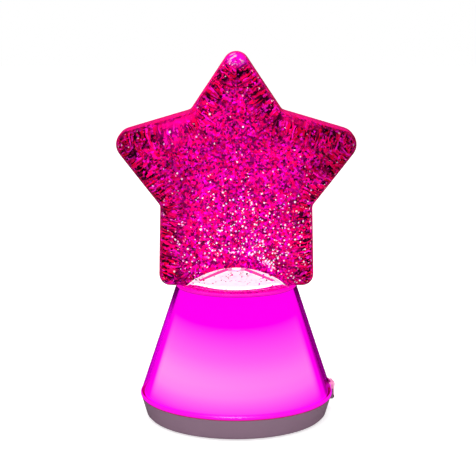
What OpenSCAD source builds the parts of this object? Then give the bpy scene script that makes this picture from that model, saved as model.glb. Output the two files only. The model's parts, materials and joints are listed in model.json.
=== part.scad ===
// Glitter lamp: a clear star-shaped bottle of glitter liquid, stirred by a magnetic
// spinner, on a lit cone with a plastic base. Millimetres, +Z up.
// The origin is the centre of the base on the table, and -Y is the front.

/* [Base] */
// Radius of the widest rim, where the cone meets the base
rim_r = 70; // [66:0.5:80]
// How far the base draws in from the rim to its underside
base_draw = 4.5; // [2:0.5:8]
// Height of the base from its underside to the rim
base_h = 14.8; // [12:0.2:20]
// Thickness of the base's side wall
base_wall = 2.4; // [1.6:0.1:4]
// Thickness of the base's floor
base_floor = 3; // [2.4:0.1:4]
// How far the base's top edge sits inside the rim
rim_step = 0.6; // [0.2:0.1:1.5]
// Chamfer along the base's bottom edge
base_chamfer = 1.6; // [0.4:0.1:3]
// Radius of each rubber foot
foot_r = 5; // [3:0.5:7]
// How far the feet stand out below the base
foot_h = 1.2; // [0.6:0.1:2.5]
// Depth of the recess that holds each foot
foot_recess = 0.8; // [0.4:0.1:1.4]
// Distance of the feet's middles in from the edge of the underside
foot_inset = 10.5; // [8:0.5:16]

/* [Cone] */
// Height of the cone from the rim to its top edge
cone_h = 81; // [70:0.5:110]
// Outside radius of the cone's top edge
cone_top_r = 43.4; // [40:0.2:52]
// Wall of the clear cone, square to its face
cone_wall = 2.2; // [1.4:0.1:3]
// Height of the rounded lip round the cone's foot
lip_h = 3.2; // [2.4:0.1:6]
// Thickness of the flange inside the cone's foot
flange_t = 2; // [1.4:0.1:2.2]
// Gap between the cone and the frosted sleeve inside it
sleeve_gap = 1; // [0.4:0.1:2]
// Wall of the frosted sleeve
sleeve_wall = 1; // [0.6:0.1:2]

/* [Bottle] */
// Half of the width between the star's side tips, before rounding
tip_x = 92.5; // [84:0.5:100]
// Height of the side tips above the bottle's bottom
tip_h = 107.1; // [95:0.5:115]
// Rounding of the side tips
tip_round = 10.8; // [8:0.2:14]
// Height of the top tip above the bottle's bottom, before rounding
apex_h = 173.4; // [160:0.5:185]
// Rounding of the top tip
apex_round = 9.4; // [8:0.2:12]
// Half of the width between the upper notches
notch_x = 32.7; // [28:0.5:38]
// Height of the upper notches above the bottle's bottom
notch_h = 124.5; // [116:0.5:130]
// Rounding of the upper notches
notch_round = 4; // [2:0.5:6]
// Half of the width between the lower notches
waist_x = 53.9; // [50:0.5:60]
// Height of the lower notches above the bottle's bottom
waist_h = 58.3; // [46:0.5:64]
// Rounding of the lower notches
waist_round = 5; // [3:0.5:8]
// Half of the width of the bottle's bottom
skirt_x = 55.5; // [52:0.5:62]
// Rounding of the bottom corners
skirt_round = 8; // [5:0.5:9]
// Half of the depth of the land round the star's edge
edge_depth = 3.6; // [2:0.1:6]
// Radius that rounds the star's faces into its edge
edge_round = 20; // [15:0.5:26]
// Extra swell of each face at the star's middle
dome_h = 10; // [4:0.5:14]
// Wall of the bottle
bottle_wall = 2; // [1.2:0.1:2.4]
// How far the round shoulder stays inside the cone's top edge
shoulder_in = 3; // [1:0.2:4]

/* [Cup and plug] */
// Depth of the cup below the cone's top edge
cup_depth = 19; // [16:0.5:26]
// Wall of the cup
cup_wall = 1.8; // [1.2:0.1:2.4]
// Floor of the cup
cup_floor = 2; // [1.4:0.1:3]
// Thickness of the cup's flange, on which the bottle stands
cup_flange = 1.4; // [1:0.1:3]
// Height of the plug's top face above the bottle's bottom
plug_rise = 1.5; // [0.5:0.1:1.8]
// Thickness of the plug's top and of its skirt
plug_wall = 2; // [1.6:0.1:3]
// Thickness of the plug's flange
plug_flange = 2.4; // [1.6:0.1:3]
// Thickness of the seal between plug and neck
seal_t = 1; // [0.6:0.1:2]

/* [Stirrer] */
// Radius of the stirrer
stirrer_r = 26; // [20:0.5:28]
// Height of the stirrer's cone
stirrer_h = 4.8; // [4.5:0.1:7]
// Number of ribs on the stirrer
stirrer_ribs = 3; // [3:1:8]
// Radius of the pin that the stirrer turns on
pin_r = 1.5; // [1.2:0.1:2]
// Radius of the circle on which the magnets sit
magnet_ring_r = 9; // [8:0.2:10]
// Radius of each magnet
magnet_r = 3.6; // [2.5:0.1:3.8]
// Thickness of each magnet
magnet_t = 2.6; // [1.5:0.1:2.8]
// Radius of the motor
motor_r = 12; // [10.5:0.5:14]
// Length of the motor
motor_l = 20; // [15:0.5:26]
// Radius of the motor's shaft
shaft_r = 1; // [0.8:0.1:1.2]

/* [Power] */
// Diameter of a battery cell
cell_d = 14.3; // [13.8:0.1:14.5]
// Length of a cell without its nub
cell_l = 49; // [48:0.1:50]
// Free space left round each cell
cell_space = 0.7; // [0.4:0.1:1.2]
// Wall of the battery box
box_wall = 1.6; // [1.2:0.1:2]
// Height of the posts that carry the light board
post_h = 5; // [3:0.5:12]
// Radius of the light board
board_r = 28; // [25:0.5:34]
// Thickness of the light board
board_t = 1.6; // [1:0.1:2]
// Number of lights on the board
led_count = 8; // [4:1:10]

/* [Switch] */
// Angle of the switch behind the right-hand side
switch_angle = 11; // [0:1:20]
// How far the middle of the switch sits below the rim
switch_drop = 1; // [0:0.1:1.4]
// Height of the boss that holds the switch
boss_h = 13.2; // [12.8:0.1:15]
// Width of that boss
boss_w = 11; // [10.4:0.1:14]
// How far the boss's face stands out past the rim
boss_out = 2; // [1.5:0.1:4]
// Angle through which the rocker tips
rocker_travel = 14; // [8:1:14]

/* [Hidden] */
$fn = 96;
slide_gap = 0.4;         // loose fit between parts that drop into each other
snug_gap = 0.2;          // close fit between fixed parts
run_gap = 0.05;          // running fit of a shaft in its bore
overlap = 1;             // how far a cut runs past the face it opens

// Heights from the table up
floor_top = foot_h + base_floor;
rim_z = foot_h + base_h;
lip_top = rim_z + lip_h;
flange_top = rim_z + flange_t;
cone_top = rim_z + cone_h;
seat_z = cone_top + cup_flange;
cup_under = cone_top - cup_depth;
cup_top = cup_under + cup_floor;
plug_foot = cup_top + plug_flange;
neck_end = plug_foot + seal_t;
plug_top = seat_z + plug_rise;
plug_under = plug_top - plug_wall;

// The cone's straight wall, and what nests inside it
lip_in = 0.8;
lip_round = lip_h / 2;
cone_slope = (rim_r - lip_in - cone_top_r) / (cone_top - lip_top);
wall_x = cone_wall * sqrt(1 + cone_slope * cone_slope);
function cone_r(z) = cone_top_r + cone_slope * (cone_top - z);
function shade_in_r(z) = cone_r(z) - wall_x;
function lip_point(a) = [rim_r + lip_round * (cos(a) - 1), rim_z + lip_round * (sin(a) + 1)];
function sleeve_out_r(z) = shade_in_r(z) - sleeve_gap;
function sleeve_in_r(z) = sleeve_out_r(z) - sleeve_wall;
cup_out_r = sleeve_in_r(cone_top) - slide_gap;
cup_in_r = cup_out_r - cup_wall;
neck_r = cup_in_r - slide_gap;
neck_in_r = neck_r - bottle_wall;
plug_r = neck_in_r - snug_gap;
shoulder_r = cone_top_r - shoulder_in;

// Screws: head radius, head height, shank radius, shank length
BASE_SCREW = [2.9, 1.3, 1.4, 9];
DOOR_SCREW = [2.4, 1, 1.1, 6];
BOARD_SCREW = [2, 1.3, 0.9, 4];
MOTOR_SCREW = [1.7, 1.1, 0.9, 4.5];
recess_w = 0.7;
recess_depth = 0.6;
pilot_gap = 0.05;
shank_gap = 0.3;
head_gap = 0.3;
base_post_r = 4;
base_screw_count = 4;
base_bottom_r = rim_r - base_draw;
foot_ring_r = base_bottom_r - foot_inset;
base_screw_ring = base_bottom_r - base_wall - base_post_r - snug_gap;
base_screw_tip = foot_h + BASE_SCREW[1] + BASE_SCREW[3];
flange_in_r = base_screw_ring - base_post_r - snug_gap;

// Battery box, door and light board
cell_count = 3;
nub_r = 2.7;
nub_l = 1.3;
spring_l = 5;
spring_r = 4;
plate_t = 0.4;
plate_w = 11;
cell_pitch = cell_d + cell_space;
box_in_l = cell_l + nub_l + spring_l + 2 * plate_t;
box_in_w = cell_count * cell_pitch + cell_space;
cell_z = floor_top + cell_space / 2 + cell_d / 2;
box_roof = cell_z + cell_d / 2 + cell_space;
box_top = box_roof + box_wall;
box_l = box_in_l + 2 * box_wall;
box_w = box_in_w + 2 * box_wall;
board_z = box_top + post_h;
board_top = board_z + board_t;
post_r = 3;
post_ring = 19;
post_angles = [90, 210, 330];
led_ring = 14;
led_size = 5;
led_t = 1.6;

// The door: a plate in a rebate, with an ear and a screw at each end
rebate = base_floor * 0.6;
door_lip = 1.5;
ear_w = 11;
ear_screw_x = box_l / 2 + 4.6;
ear_end_x = ear_screw_x + 4.4;
door_post_r = 3.2;
door_post_h = 6;

// Motor and drive
nose_r = 4;
nose_h = 1.4;
carrier_t = 4;
carrier_r = magnet_ring_r + magnet_r + 2.4;
carrier_gap = 1.5;
carrier_top = plug_under - carrier_gap;
carrier_z = carrier_top - carrier_t;
carrier_hub_r = 4;
carrier_hub_l = 4.5;
shaft_inset = 1;
shaft_foot = 2.4;
motor_screw_x = 8;
window_r = 6.5;
window_ring = 22;
window_count = 6;

// Stirrer
stirrer_z = plug_top + 1.3;
stirrer_hub_r = 5;
stirrer_edge = 1.6;
rib_t = 2;
rib_h = 1.6;
plug_boss_r = 3;
plug_boss_h = 1;
pin_head_r = 2.6;
pin_head_h = 1.4;
pin_sunk = 1.2;
swirl_gap = 1.2;

// Switch
switch_z = rim_z - switch_drop;
boss_face = rim_r + boss_out;
boss_round = 1.8;
body_w = 7.6;
body_h = 10.4;
body_l = 11.5;
bezel_w = 9.6;
bezel_h = 12.3;
bezel_t = 1;
well_w = 6.6;
well_h = 9.6;
well_depth = 6;
pivot_x = boss_face - 1;
pivot_r = 0.8;
rocker_w = 6.2;
rocker_h = 8.6;
rocker_crest = 2.6;
rocker_dip = 1.5;
rocker_belly = 2;
rocker_side = 0.4;
tag_w = 3;
tag_t = 0.8;
tag_l = 4;

// Leads: radius, sides of the tube, and the points that each pair follows
lead_r = 0.8;
lead_sides = 8;
lead_gap = 2.2;
lead_pull = 10;

// The bottle's outline and swell
middle = [0, 72];                // the star's middle, above the bottle's bottom
dome_reach = 110;                // distance from the middle at which the swell ends
ring_count = 9;                  // rings between the star's edge and its middle
ring_crowd = 2.2;                // how closely the rings crowd towards the edge
blend = 8;                       // width over which shoulder and swell run together
shoulder_low = 6;                // height at which the shoulder starts to draw in
shoulder_fade = 45;              // further height at which it has drawn in fully
edge_steps = 4;                  // spans along each straight edge
shoulder_steps = 6;              // spans along half of the round shoulder
fill_gap = 0.3;                  // gap between the bottle's wall and the liquid

function unit(v) = v / norm(v);
function turn(a) = a > 180 ? a - 360 : a < -180 ? a + 360 : a;
function smooth_max(a, b, k) = let(h = max(k - abs(a - b), 0) / k) max(a, b) + h * h * k / 4;

// Points of the arc that rounds corner v between u and w
function corner(u, v, w, r, steps) =
    let(a = unit(u - v), b = unit(w - v), half = acos(a * b) / 2,
        c = v + unit(a + b) * r / sin(half),
        p = v + a * r / tan(half) - c, q = v + b * r / tan(half) - c,
        from = atan2(p[1], p[0]), sweep = turn(atan2(q[1], q[0]) - from))
    [for (i = [0:steps]) c + r * [cos(from + sweep * i / steps), sin(from + sweep * i / steps)]];

// Points strictly between two ends of a straight edge
function between(p, q, spans) = [for (i = [1:spans - 1]) p + (q - p) * i / spans];
function last(list) = list[len(list) - 1];

// Right half of the star's outline, from the bottom's middle to the top tip
function half_outline() =
    let(skirt = [skirt_x, 0], waist = [waist_x, waist_h], tip = [tip_x, tip_h],
        notch = [notch_x, notch_h], apex = [0, apex_h],
        foot = [for (i = [0:shoulder_steps]) [shoulder_r * sin(90 * i / shoulder_steps), 0]],
        c1 = corner([0, 0], skirt, waist, skirt_round, 5),
        c2 = corner(skirt, waist, tip, waist_round, 3),
        c3 = corner(waist, tip, notch, tip_round, 7),
        c4 = corner(tip, notch, apex, notch_round, 3),
        c5 = corner(notch, apex, [-notch_x, notch_h], apex_round, 8))
    concat(foot, c1, between(last(c1), c2[0], edge_steps), c2,
        between(last(c2), c3[0], edge_steps), c3, between(last(c3), c4[0], edge_steps), c4,
        between(last(c4), c5[0], edge_steps), [for (i = [0:4]) c5[i]]);

function whole_outline() =
    let(h = half_outline(), n = len(h))
    concat(h, [for (i = [1:n - 2]) [-h[n - 1 - i][0], h[n - 1 - i][1]]]);

// Outline moved inwards by d
function inset_outline(d) =
    let(o = whole_outline(), n = len(o))
    [for (i = [0:n - 1]) let(t = unit(o[(i + 1) % n] - o[(i + n - 1) % n])) o[i] + d * [-t[1], t[0]]];

// Least distance from p to the outline o
function gap_to(p, a, b) =
    let(ab = b - a, t = min(max((p - a) * ab / (ab * ab), 0), 1)) norm(p - a - t * ab);
function edge_gap(p, o) = let(n = len(o)) min([for (i = [0:n - 1]) gap_to(p, o[i], o[(i + 1) % n])]);

// Half depth of the bottle at p: rounded at the star's edge, domed at its middle,
// and run into a round shoulder above the neck
function shoulder_depth(p, d) =
    let(r = shoulder_r - d, x = abs(p[0]), rise = max(p[1] - shoulder_low, 0) / shoulder_fade)
    (x < r ? sqrt(r * r - x * x) : 4 * (r - x)) - shoulder_r * rise * rise;
function star_depth(p, o, d) =
    let(r = edge_round - d, t = 1 - min(edge_gap(p, o) / r, 1), far = norm(p - middle) / dome_reach)
    edge_depth + r * sqrt(1 - t * t) + dome_h * max(1 - far * far, 0);
function depth_at(p, o, d) = smooth_max(star_depth(p, o, d), shoulder_depth(p, d), blend);

// Closed star form, d inside the bottle's outer face
module star_form(d) {
    o = inset_outline(d);
    n = len(o);
    shares = [for (k = [0:ring_count - 1]) 1 - pow(k / ring_count, ring_crowd)];
    front = [for (share = shares, p = o)
        let(q = middle + (p - middle) * share) [q[0], -depth_at(q, o, d), q[1]]];
    pole = depth_at(middle, o, d);
    points = concat(front, [[middle[0], -pole, middle[1]]],
        [for (p = front) [p[0], -p[1], p[2]]], [[middle[0], pole, middle[1]]]);
    half = ring_count * n + 1;
    spans = [for (k = [0:ring_count - 2], i = [0:n - 1]) [k * n + i, k * n + (i + 1) % n]];
    rim = [for (i = [0:n - 1]) [(ring_count - 1) * n + i, (ring_count - 1) * n + (i + 1) % n]];
    edge = [for (i = [0:n - 1]) [i, (i + 1) % n]];
    faces = concat(
        [for (s = spans) [s[0], s[0] + n, s[1] + n]],
        [for (s = spans) [s[0], s[1] + n, s[1]]],
        [for (s = rim) [s[0], half - 1, s[1]]],
        [for (s = spans) [half + s[0], half + s[1] + n, half + s[0] + n]],
        [for (s = spans) [half + s[0], half + s[1], half + s[1] + n]],
        [for (s = rim) [half + s[0], half + s[1], 2 * half - 1]],
        [for (s = edge) [s[0], s[1], half + s[1]]],
        [for (s = edge) [s[0], half + s[1], half + s[0]]]);
    translate([0, 0, seat_z]) polyhedron(points, faces);
}

// Plain shapes used by several parts
module ring(r_in, r_out, z0, z1) {
    translate([0, 0, z0]) difference() {
        cylinder(r = r_out, h = z1 - z0);
        translate([0, 0, -overlap]) cylinder(r = r_in, h = z1 - z0 + 2 * overlap);
    }
}

module disc(r, z0, z1) {
    translate([0, 0, z0]) cylinder(r = r, h = z1 - z0);
}

module block(l, w, z0, z1) {
    translate([-l / 2, -w / 2, z0]) cube([l, w, z1 - z0]);
}

module around(count, r, start = 0) {
    for (i = [0:count - 1]) rotate([0, 0, start + 360 * i / count]) translate([r, 0, 0]) children();
}

// Cross-head screw: head at z = 0 and below, shank above
module screw(size) {
    difference() {
        union() {
            disc(size[0], -size[1], 0);
            disc(size[2], -overlap / 2, size[3]);
        }
        for (turn = [0, 90]) rotate([0, 0, turn])
            block(size[0] * 1.3, recess_w, -size[1] - overlap, -size[1] + recess_depth);
    }
}

// A cubic between p and q that leaves along pull_p and arrives against pull_q, and its direction
function bow(p, pull_p, q, pull_q, t) = let(s = 1 - t)
    s * s * s * p + 3 * s * s * t * (p + pull_p) + 3 * s * t * t * (q + pull_q) + t * t * t * q;
function bow_way(p, pull_p, q, pull_q, t) = let(s = 1 - t)
    unit(s * s * pull_p + 2 * s * t * (q + pull_q - p - pull_p) - t * t * pull_q);

// A lead: a tube along a bow with flat ends; across is square to the plane that it lies in
module lead(p, pull_p, q, pull_q, across, steps) {
    rings = [for (i = [0:steps])
        let(v = cross(bow_way(p, pull_p, q, pull_q, i / steps), across))
        for (k = [0:lead_sides - 1]) let(a = 360 * k / lead_sides)
            bow(p, pull_p, q, pull_q, i / steps) + lead_r * (cos(a) * across + sin(a) * v)];
    spans = [for (i = [0:steps - 1], k = [0:lead_sides - 1])
        [i * lead_sides + k, i * lead_sides + (k + 1) % lead_sides]];
    end = steps * lead_sides;
    faces = concat(
        [for (s = spans) [s[0], s[1], s[1] + lead_sides]],
        [for (s = spans) [s[0], s[1] + lead_sides, s[0] + lead_sides]],
        [for (k = [1:lead_sides - 2]) [0, k + 1, k]],
        [for (k = [1:lead_sides - 2]) [end, end + k, end + k + 1]]);
    polyhedron(rings, faces);
}

// The switch's own frame: +X points out of the lamp through the rocker
module at_switch() {
    rotate([0, 0, switch_angle]) children();
}

// Boss for the switch, between two heights, with its upper outer edge rounded
module switch_boss(z0, z1) {
    x0 = sleeve_in_r(switch_z);
    z_top = switch_z + boss_h / 2;
    at_switch() intersection() {
        translate([0, boss_w / 2, 0]) rotate([90, 0, 0]) linear_extrude(boss_w) union() {
            translate([x0, z0 - overlap]) square([boss_face - boss_round - x0, z_top - z0 + overlap]);
            translate([x0, z0 - overlap]) square([boss_face - x0, z_top - boss_round - z0 + overlap]);
            translate([boss_face - boss_round, z_top - boss_round]) circle(r = boss_round);
        }
        translate([x0, -boss_w, z0]) cube([boss_face, 2 * boss_w, z1 - z0]);
    }
}

// Opening through walls for the switch's body
module switch_window(gap) {
    at_switch() translate([boss_face - body_l - 2 * overlap, -body_w / 2 - gap, switch_z - body_h / 2 - gap])
        cube([body_l + 4 * overlap, body_w + 2 * gap, body_h + 2 * gap]);
}

// Notch through the cone's flange, for the switch's tags and leads
module tag_notch() {
    at_switch() translate([0, -body_w / 2 - slide_gap, rim_z - overlap])
        cube([boss_face - body_l, body_w + 2 * slide_gap, flange_t + 2 * overlap]);
}

// Outline of the battery door, grown by d
module door_outline(d) {
    square([box_in_l + 2 * door_lip + 2 * d, box_in_w + 2 * door_lip + 2 * d], center = true);
    square([2 * ear_end_x + 2 * d, ear_w + 2 * d], center = true);
}

module base_cup() {
    color("rosybrown") difference() {
        union() {
            difference() {
                union() {
                    rotate_extrude() polygon([[0, foot_h], [base_bottom_r - base_chamfer, foot_h],
                        [base_bottom_r, foot_h + base_chamfer], [rim_r - rim_step, rim_z],
                        [rim_r - rim_step, rim_z + overlap], [0, rim_z + overlap]]);
                    switch_boss(switch_z - boss_h / 2, rim_z + overlap);
                }
                disc(2 * rim_r, rim_z, rim_z + 2 * overlap);
                rotate_extrude() polygon([[0, floor_top], [base_bottom_r - base_wall, floor_top],
                    [rim_r - rim_step - base_wall, rim_z + overlap], [0, rim_z + overlap]]);
            }
            for (side = [-1, 1]) translate([side * ear_screw_x, 0, 0])
                disc(door_post_r, floor_top - overlap / 2, floor_top + door_post_h);
        }
        translate([0, 0, foot_h - overlap]) linear_extrude(overlap + rebate) door_outline(slide_gap);
        block(box_in_l, box_in_w, foot_h, floor_top + overlap);
        for (side = [-1, 1]) translate([side * ear_screw_x, 0, 0])
            disc(DOOR_SCREW[2] + pilot_gap, foot_h, floor_top + door_post_h + overlap);
        around(base_screw_count, base_screw_ring, 45) {
            disc(BASE_SCREW[2] + shank_gap, 0, floor_top + overlap);
            disc(BASE_SCREW[0] + head_gap, 0, foot_h + BASE_SCREW[1]);
        }
        around(4, foot_ring_r) disc(foot_r + snug_gap, 0, foot_h + foot_recess);
        switch_window(slide_gap);
    }
}

module rubber_feet() {
    color("dimgray") around(4, foot_ring_r) disc(foot_r, 0, foot_h + foot_recess);
}

module base_screws() {
    color("silver") around(base_screw_count, base_screw_ring, 45)
        translate([0, 0, foot_h + BASE_SCREW[1]]) screw(BASE_SCREW);
}

module battery_door() {
    color("rosybrown") difference() {
        union() {
            translate([0, 0, foot_h]) linear_extrude(rebate) door_outline(0);
            block(box_in_l - 2 * slide_gap, box_in_w - 2 * slide_gap, foot_h, floor_top);
        }
        for (side = [-1, 1]) translate([side * ear_screw_x, 0, 0]) {
            disc(DOOR_SCREW[2] + snug_gap, 0, floor_top);
            disc(DOOR_SCREW[0] + head_gap, 0, foot_h + DOOR_SCREW[1]);
        }
    }
}

module door_screws() {
    color("silver") for (side = [-1, 1])
        translate([side * ear_screw_x, 0, foot_h + DOOR_SCREW[1]]) screw(DOOR_SCREW);
}

module battery_box() {
    color("white") difference() {
        union() {
            block(box_l, box_w, floor_top, box_top);
            for (a = post_angles) rotate([0, 0, a]) translate([post_ring, 0, 0])
                disc(post_r, box_top - overlap / 2, board_z);
        }
        block(box_in_l, box_in_w, floor_top - overlap, box_roof);
        for (a = post_angles) rotate([0, 0, a]) translate([post_ring, 0, 0])
            disc(BOARD_SCREW[2] + pilot_gap, board_z - BOARD_SCREW[3] - overlap / 2, board_z + overlap);
    }
}

// The cells lie along X, side by side, with their springs at the -X end
cell_x0 = -box_in_l / 2 + plate_t + spring_l;
module each_cell() {
    for (i = [0:cell_count - 1])
        translate([0, (i - (cell_count - 1) / 2) * cell_pitch, cell_z]) rotate([0, 90, 0]) children();
}

module battery_cells() {
    color("goldenrod") each_cell() {
        disc(cell_d / 2, cell_x0, cell_x0 + cell_l);
        disc(nub_r, cell_x0 + cell_l - overlap, cell_x0 + cell_l + nub_l);
    }
}

module battery_springs() {
    color("silver") each_cell() translate([0, 0, cell_x0 - spring_l])
        cylinder(r1 = spring_r, r2 = spring_r - 1.5, h = spring_l);
}

module battery_contacts() {
    color("silver") each_cell() for (x = [-box_in_l / 2, box_in_l / 2 - plate_t])
        block(plate_w, plate_w, x, x + plate_t);
}

module led_board() {
    color("seagreen") difference() {
        disc(board_r, board_z, board_top);
        for (a = post_angles) rotate([0, 0, a]) translate([post_ring, 0, 0])
            disc(BOARD_SCREW[2] + shank_gap, board_z - overlap, board_top + overlap);
    }
}

module led_chips() {
    color("ivory") around(led_count, led_ring, 180 / led_count)
        block(led_size, led_size, board_top, board_top + led_t);
}

module board_screws() {
    color("silver") for (a = post_angles) rotate([0, 0, a]) translate([post_ring, 0, board_top])
        rotate([180, 0, 0]) screw([BOARD_SCREW[0], BOARD_SCREW[1], BOARD_SCREW[2], BOARD_SCREW[3] + board_t]);
}

module switch_housing() {
    color("gainsboro") difference() {
        at_switch() union() {
            translate([boss_face, -bezel_w / 2, switch_z - bezel_h / 2]) cube([bezel_t, bezel_w, bezel_h]);
            translate([boss_face - body_l, -body_w / 2, switch_z - body_h / 2])
                cube([body_l + bezel_t / 2, body_w, body_h]);
        }
        at_switch() {
            translate([boss_face + bezel_t - well_depth, -well_w / 2, switch_z - well_h / 2])
                cube([well_depth + overlap, well_w, well_h]);
            translate([pivot_x, 0, switch_z]) rotate([90, 0, 0])
                cylinder(r = pivot_r, h = body_w + overlap, center = true);
        }
    }
}

// Rocker: two sloping faces over a rounded belly, drawn level and tipped to its rest
module switch_rocker() {
    reach = rocker_h / 2;
    color("mistyrose") at_switch() translate([pivot_x, 0, switch_z]) rotate([0, rocker_travel / 2, 0])
        rotate([90, 0, 0]) difference() {
            translate([0, 0, -rocker_w / 2]) linear_extrude(rocker_w) difference() {
                union() {
                    polygon([[-rocker_side, -reach], [rocker_crest, -reach], [rocker_dip, 0],
                        [rocker_crest, reach], [-rocker_side, reach]]);
                    circle(r = rocker_belly);
                }
                circle(r = pivot_r + run_gap);
            }
        }
}

module switch_pin() {
    color("silver") at_switch() translate([pivot_x, 0, switch_z]) rotate([90, 0, 0])
        cylinder(r = pivot_r, h = body_w, center = true);
}

module switch_terminals() {
    color("silver") at_switch() for (side = [-1, 1])
        translate([boss_face - body_l - tag_l, -tag_w / 2, switch_z + side * body_h / 4 - tag_t / 2])
            cube([tag_l, tag_w, tag_t]);
}

module cone_shade() {
    color("magenta", 0.6) difference() {
        union() {
            difference() {
                union() {
                    rotate_extrude() polygon([[0, rim_z], for (a = [-90:15:45]) lip_point(a),
                        [rim_r - lip_in, lip_top], [cone_top_r, cone_top], [0, cone_top]]);
                    switch_boss(rim_z, switch_z + boss_h / 2);
                }
                rotate_extrude() polygon([[0, flange_top], [shade_in_r(flange_top), flange_top],
                    [shade_in_r(cone_top + overlap), cone_top + overlap], [0, cone_top + overlap]]);
                disc(flange_in_r, rim_z - overlap, flange_top + overlap);
            }
            around(base_screw_count, base_screw_ring, 45) disc(base_post_r, floor_top, rim_z + overlap / 2);
        }
        around(base_screw_count, base_screw_ring, 45)
            disc(BASE_SCREW[2] + pilot_gap, floor_top - overlap, base_screw_tip + overlap / 2);
        switch_window(slide_gap);
        tag_notch();
    }
}

module cone_diffuser() {
    top = cone_top - snug_gap;
    color("violet") difference() {
        rotate_extrude() polygon([[sleeve_in_r(flange_top), flange_top],
            [sleeve_out_r(flange_top), flange_top], [sleeve_out_r(top), top], [sleeve_in_r(top), top]]);
        switch_window(2 * slide_gap);
    }
}

module bottle_cup() {
    color("plum") difference() {
        union() {
            ring(cup_in_r, cup_out_r, cup_under, seat_z);
            ring(cup_in_r, cone_top_r, cone_top, seat_z);
            disc(cup_out_r, cup_under, cup_top);
        }
        disc(nose_r + slide_gap, cup_under - overlap, cup_top + overlap);
        around(window_count, window_ring, 30) disc(window_r, cup_under - overlap, cup_top + overlap);
        around(2, motor_screw_x) disc(MOTOR_SCREW[2] + snug_gap, cup_under - overlap, cup_top + overlap);
    }
}

module motor_can() {
    bottom = cup_under - motor_l;
    color("silver") difference() {
        union() {
            disc(motor_r, bottom, cup_under);
            disc(nose_r, cup_under - overlap, cup_under + nose_h);
        }
        disc(shaft_r + run_gap, bottom + shaft_foot, cup_under + nose_h + overlap);
        around(2, motor_screw_x)
            disc(MOTOR_SCREW[2] + pilot_gap, cup_top - MOTOR_SCREW[3] - overlap, cup_under + overlap);
    }
}

module motor_shaft() {
    color("lightgray") disc(shaft_r, cup_under - motor_l + shaft_foot + run_gap, carrier_top - shaft_inset);
}

module motor_screws() {
    color("silver") around(2, motor_screw_x)
        translate([0, 0, cup_top]) rotate([180, 0, 0]) screw(MOTOR_SCREW);
}

module magnet_carrier() {
    color("white") difference() {
        union() {
            disc(carrier_r, carrier_z, carrier_top);
            disc(carrier_hub_r, carrier_z - carrier_hub_l, carrier_z + overlap);
        }
        disc(shaft_r, carrier_z - carrier_hub_l - overlap, carrier_top - shaft_inset);
        around(2, magnet_ring_r) disc(magnet_r + run_gap, carrier_top - magnet_t, carrier_top + overlap);
    }
}

module drive_magnets() {
    color("gray") around(2, magnet_ring_r) disc(magnet_r, carrier_top - magnet_t, carrier_top);
}

module bottle_plug() {
    color("white") difference() {
        union() {
            disc(plug_r, cup_top, plug_top);
            disc(neck_r, cup_top, plug_foot);
            disc(plug_boss_r, plug_top - overlap, plug_top + plug_boss_h);
        }
        disc(plug_r - plug_wall, cup_top - overlap, plug_under);
        disc(pin_r, plug_top - pin_sunk, plug_top + plug_boss_h + overlap);
    }
}

module plug_seal() {
    color("black") ring(plug_r + snug_gap / 2, neck_r, plug_foot, neck_end);
}

module stirrer() {
    top = stirrer_z + stirrer_h;
    fall = (stirrer_h - stirrer_edge) / (stirrer_r - stirrer_hub_r);
    rib_in = stirrer_hub_r + 1;
    rib_out = stirrer_r - 0.6;
    function slope_z(r) = top - fall * (r - stirrer_hub_r);
    color("white") difference() {
        union() {
            rotate_extrude() polygon([[0, stirrer_z], [stirrer_r, stirrer_z],
                [stirrer_r, stirrer_z + stirrer_edge], [stirrer_hub_r, top], [0, top]]);
            around(stirrer_ribs, 0, 90) translate([0, rib_t / 2, 0]) rotate([90, 0, 0]) linear_extrude(rib_t)
                polygon([[rib_in, slope_z(rib_in) - rib_h / 2], [rib_out, slope_z(rib_out) - rib_h / 2],
                    [rib_out, slope_z(rib_out) + rib_h], [rib_in, slope_z(rib_in) + rib_h]]);
        }
        disc(pin_r + run_gap, stirrer_z - overlap, top + overlap);
        around(2, magnet_ring_r) disc(magnet_r + run_gap, stirrer_z - overlap, stirrer_z + magnet_t);
    }
}

module stirrer_magnets() {
    color("gray") around(2, magnet_ring_r) disc(magnet_r, stirrer_z, stirrer_z + magnet_t);
}

module stirrer_pin() {
    head_z = stirrer_z + stirrer_h + slide_gap;
    color("silver") union() {
        disc(pin_r, plug_top - pin_sunk, head_z + pin_head_h);
        disc(pin_head_r, head_z, head_z + pin_head_h);
    }
}

module star_bottle() {
    color("hotpink", 0.4) difference() {
        union() {
            star_form(0);
            disc(neck_r, neck_end, seat_z + bottle_wall / 2);
        }
        star_form(bottle_wall);
        disc(neck_in_r, neck_end - overlap, seat_z + bottle_wall + overlap);
    }
}

// The glitter liquid fills the bottle above the plug, clear of the stirrer's sweep
module glitter_liquid() {
    color("deeppink", 0.6) difference() {
        star_form(bottle_wall + fill_gap);
        disc(stirrer_r + swirl_gap, seat_z, stirrer_z + stirrer_h + slide_gap + pin_head_h + swirl_gap);
    }
}

// Two leads side by side, from the light board up to the motor's end cap
module motor_leads() {
    color("crimson") for (side = [-1, 1])
        lead([side * lead_gap, motor_r / 2, board_top], [0, 0, lead_pull],
            [side * lead_gap, motor_r * 0.75, cup_under - motor_l], [0, 0, -lead_pull], [1, 0, 0], 12);
}

// Two leads from the battery box's roof to the underside of the light board
module battery_leads() {
    color("black") for (side = [-1, 1])
        lead([side * lead_gap - post_ring / 2, 0, box_top], [0, 0, post_h / 3],
            [side * lead_gap - post_ring / 2, 0, board_z], [0, 0, -post_h / 3], [1, 0, 0], 4);
}

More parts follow.
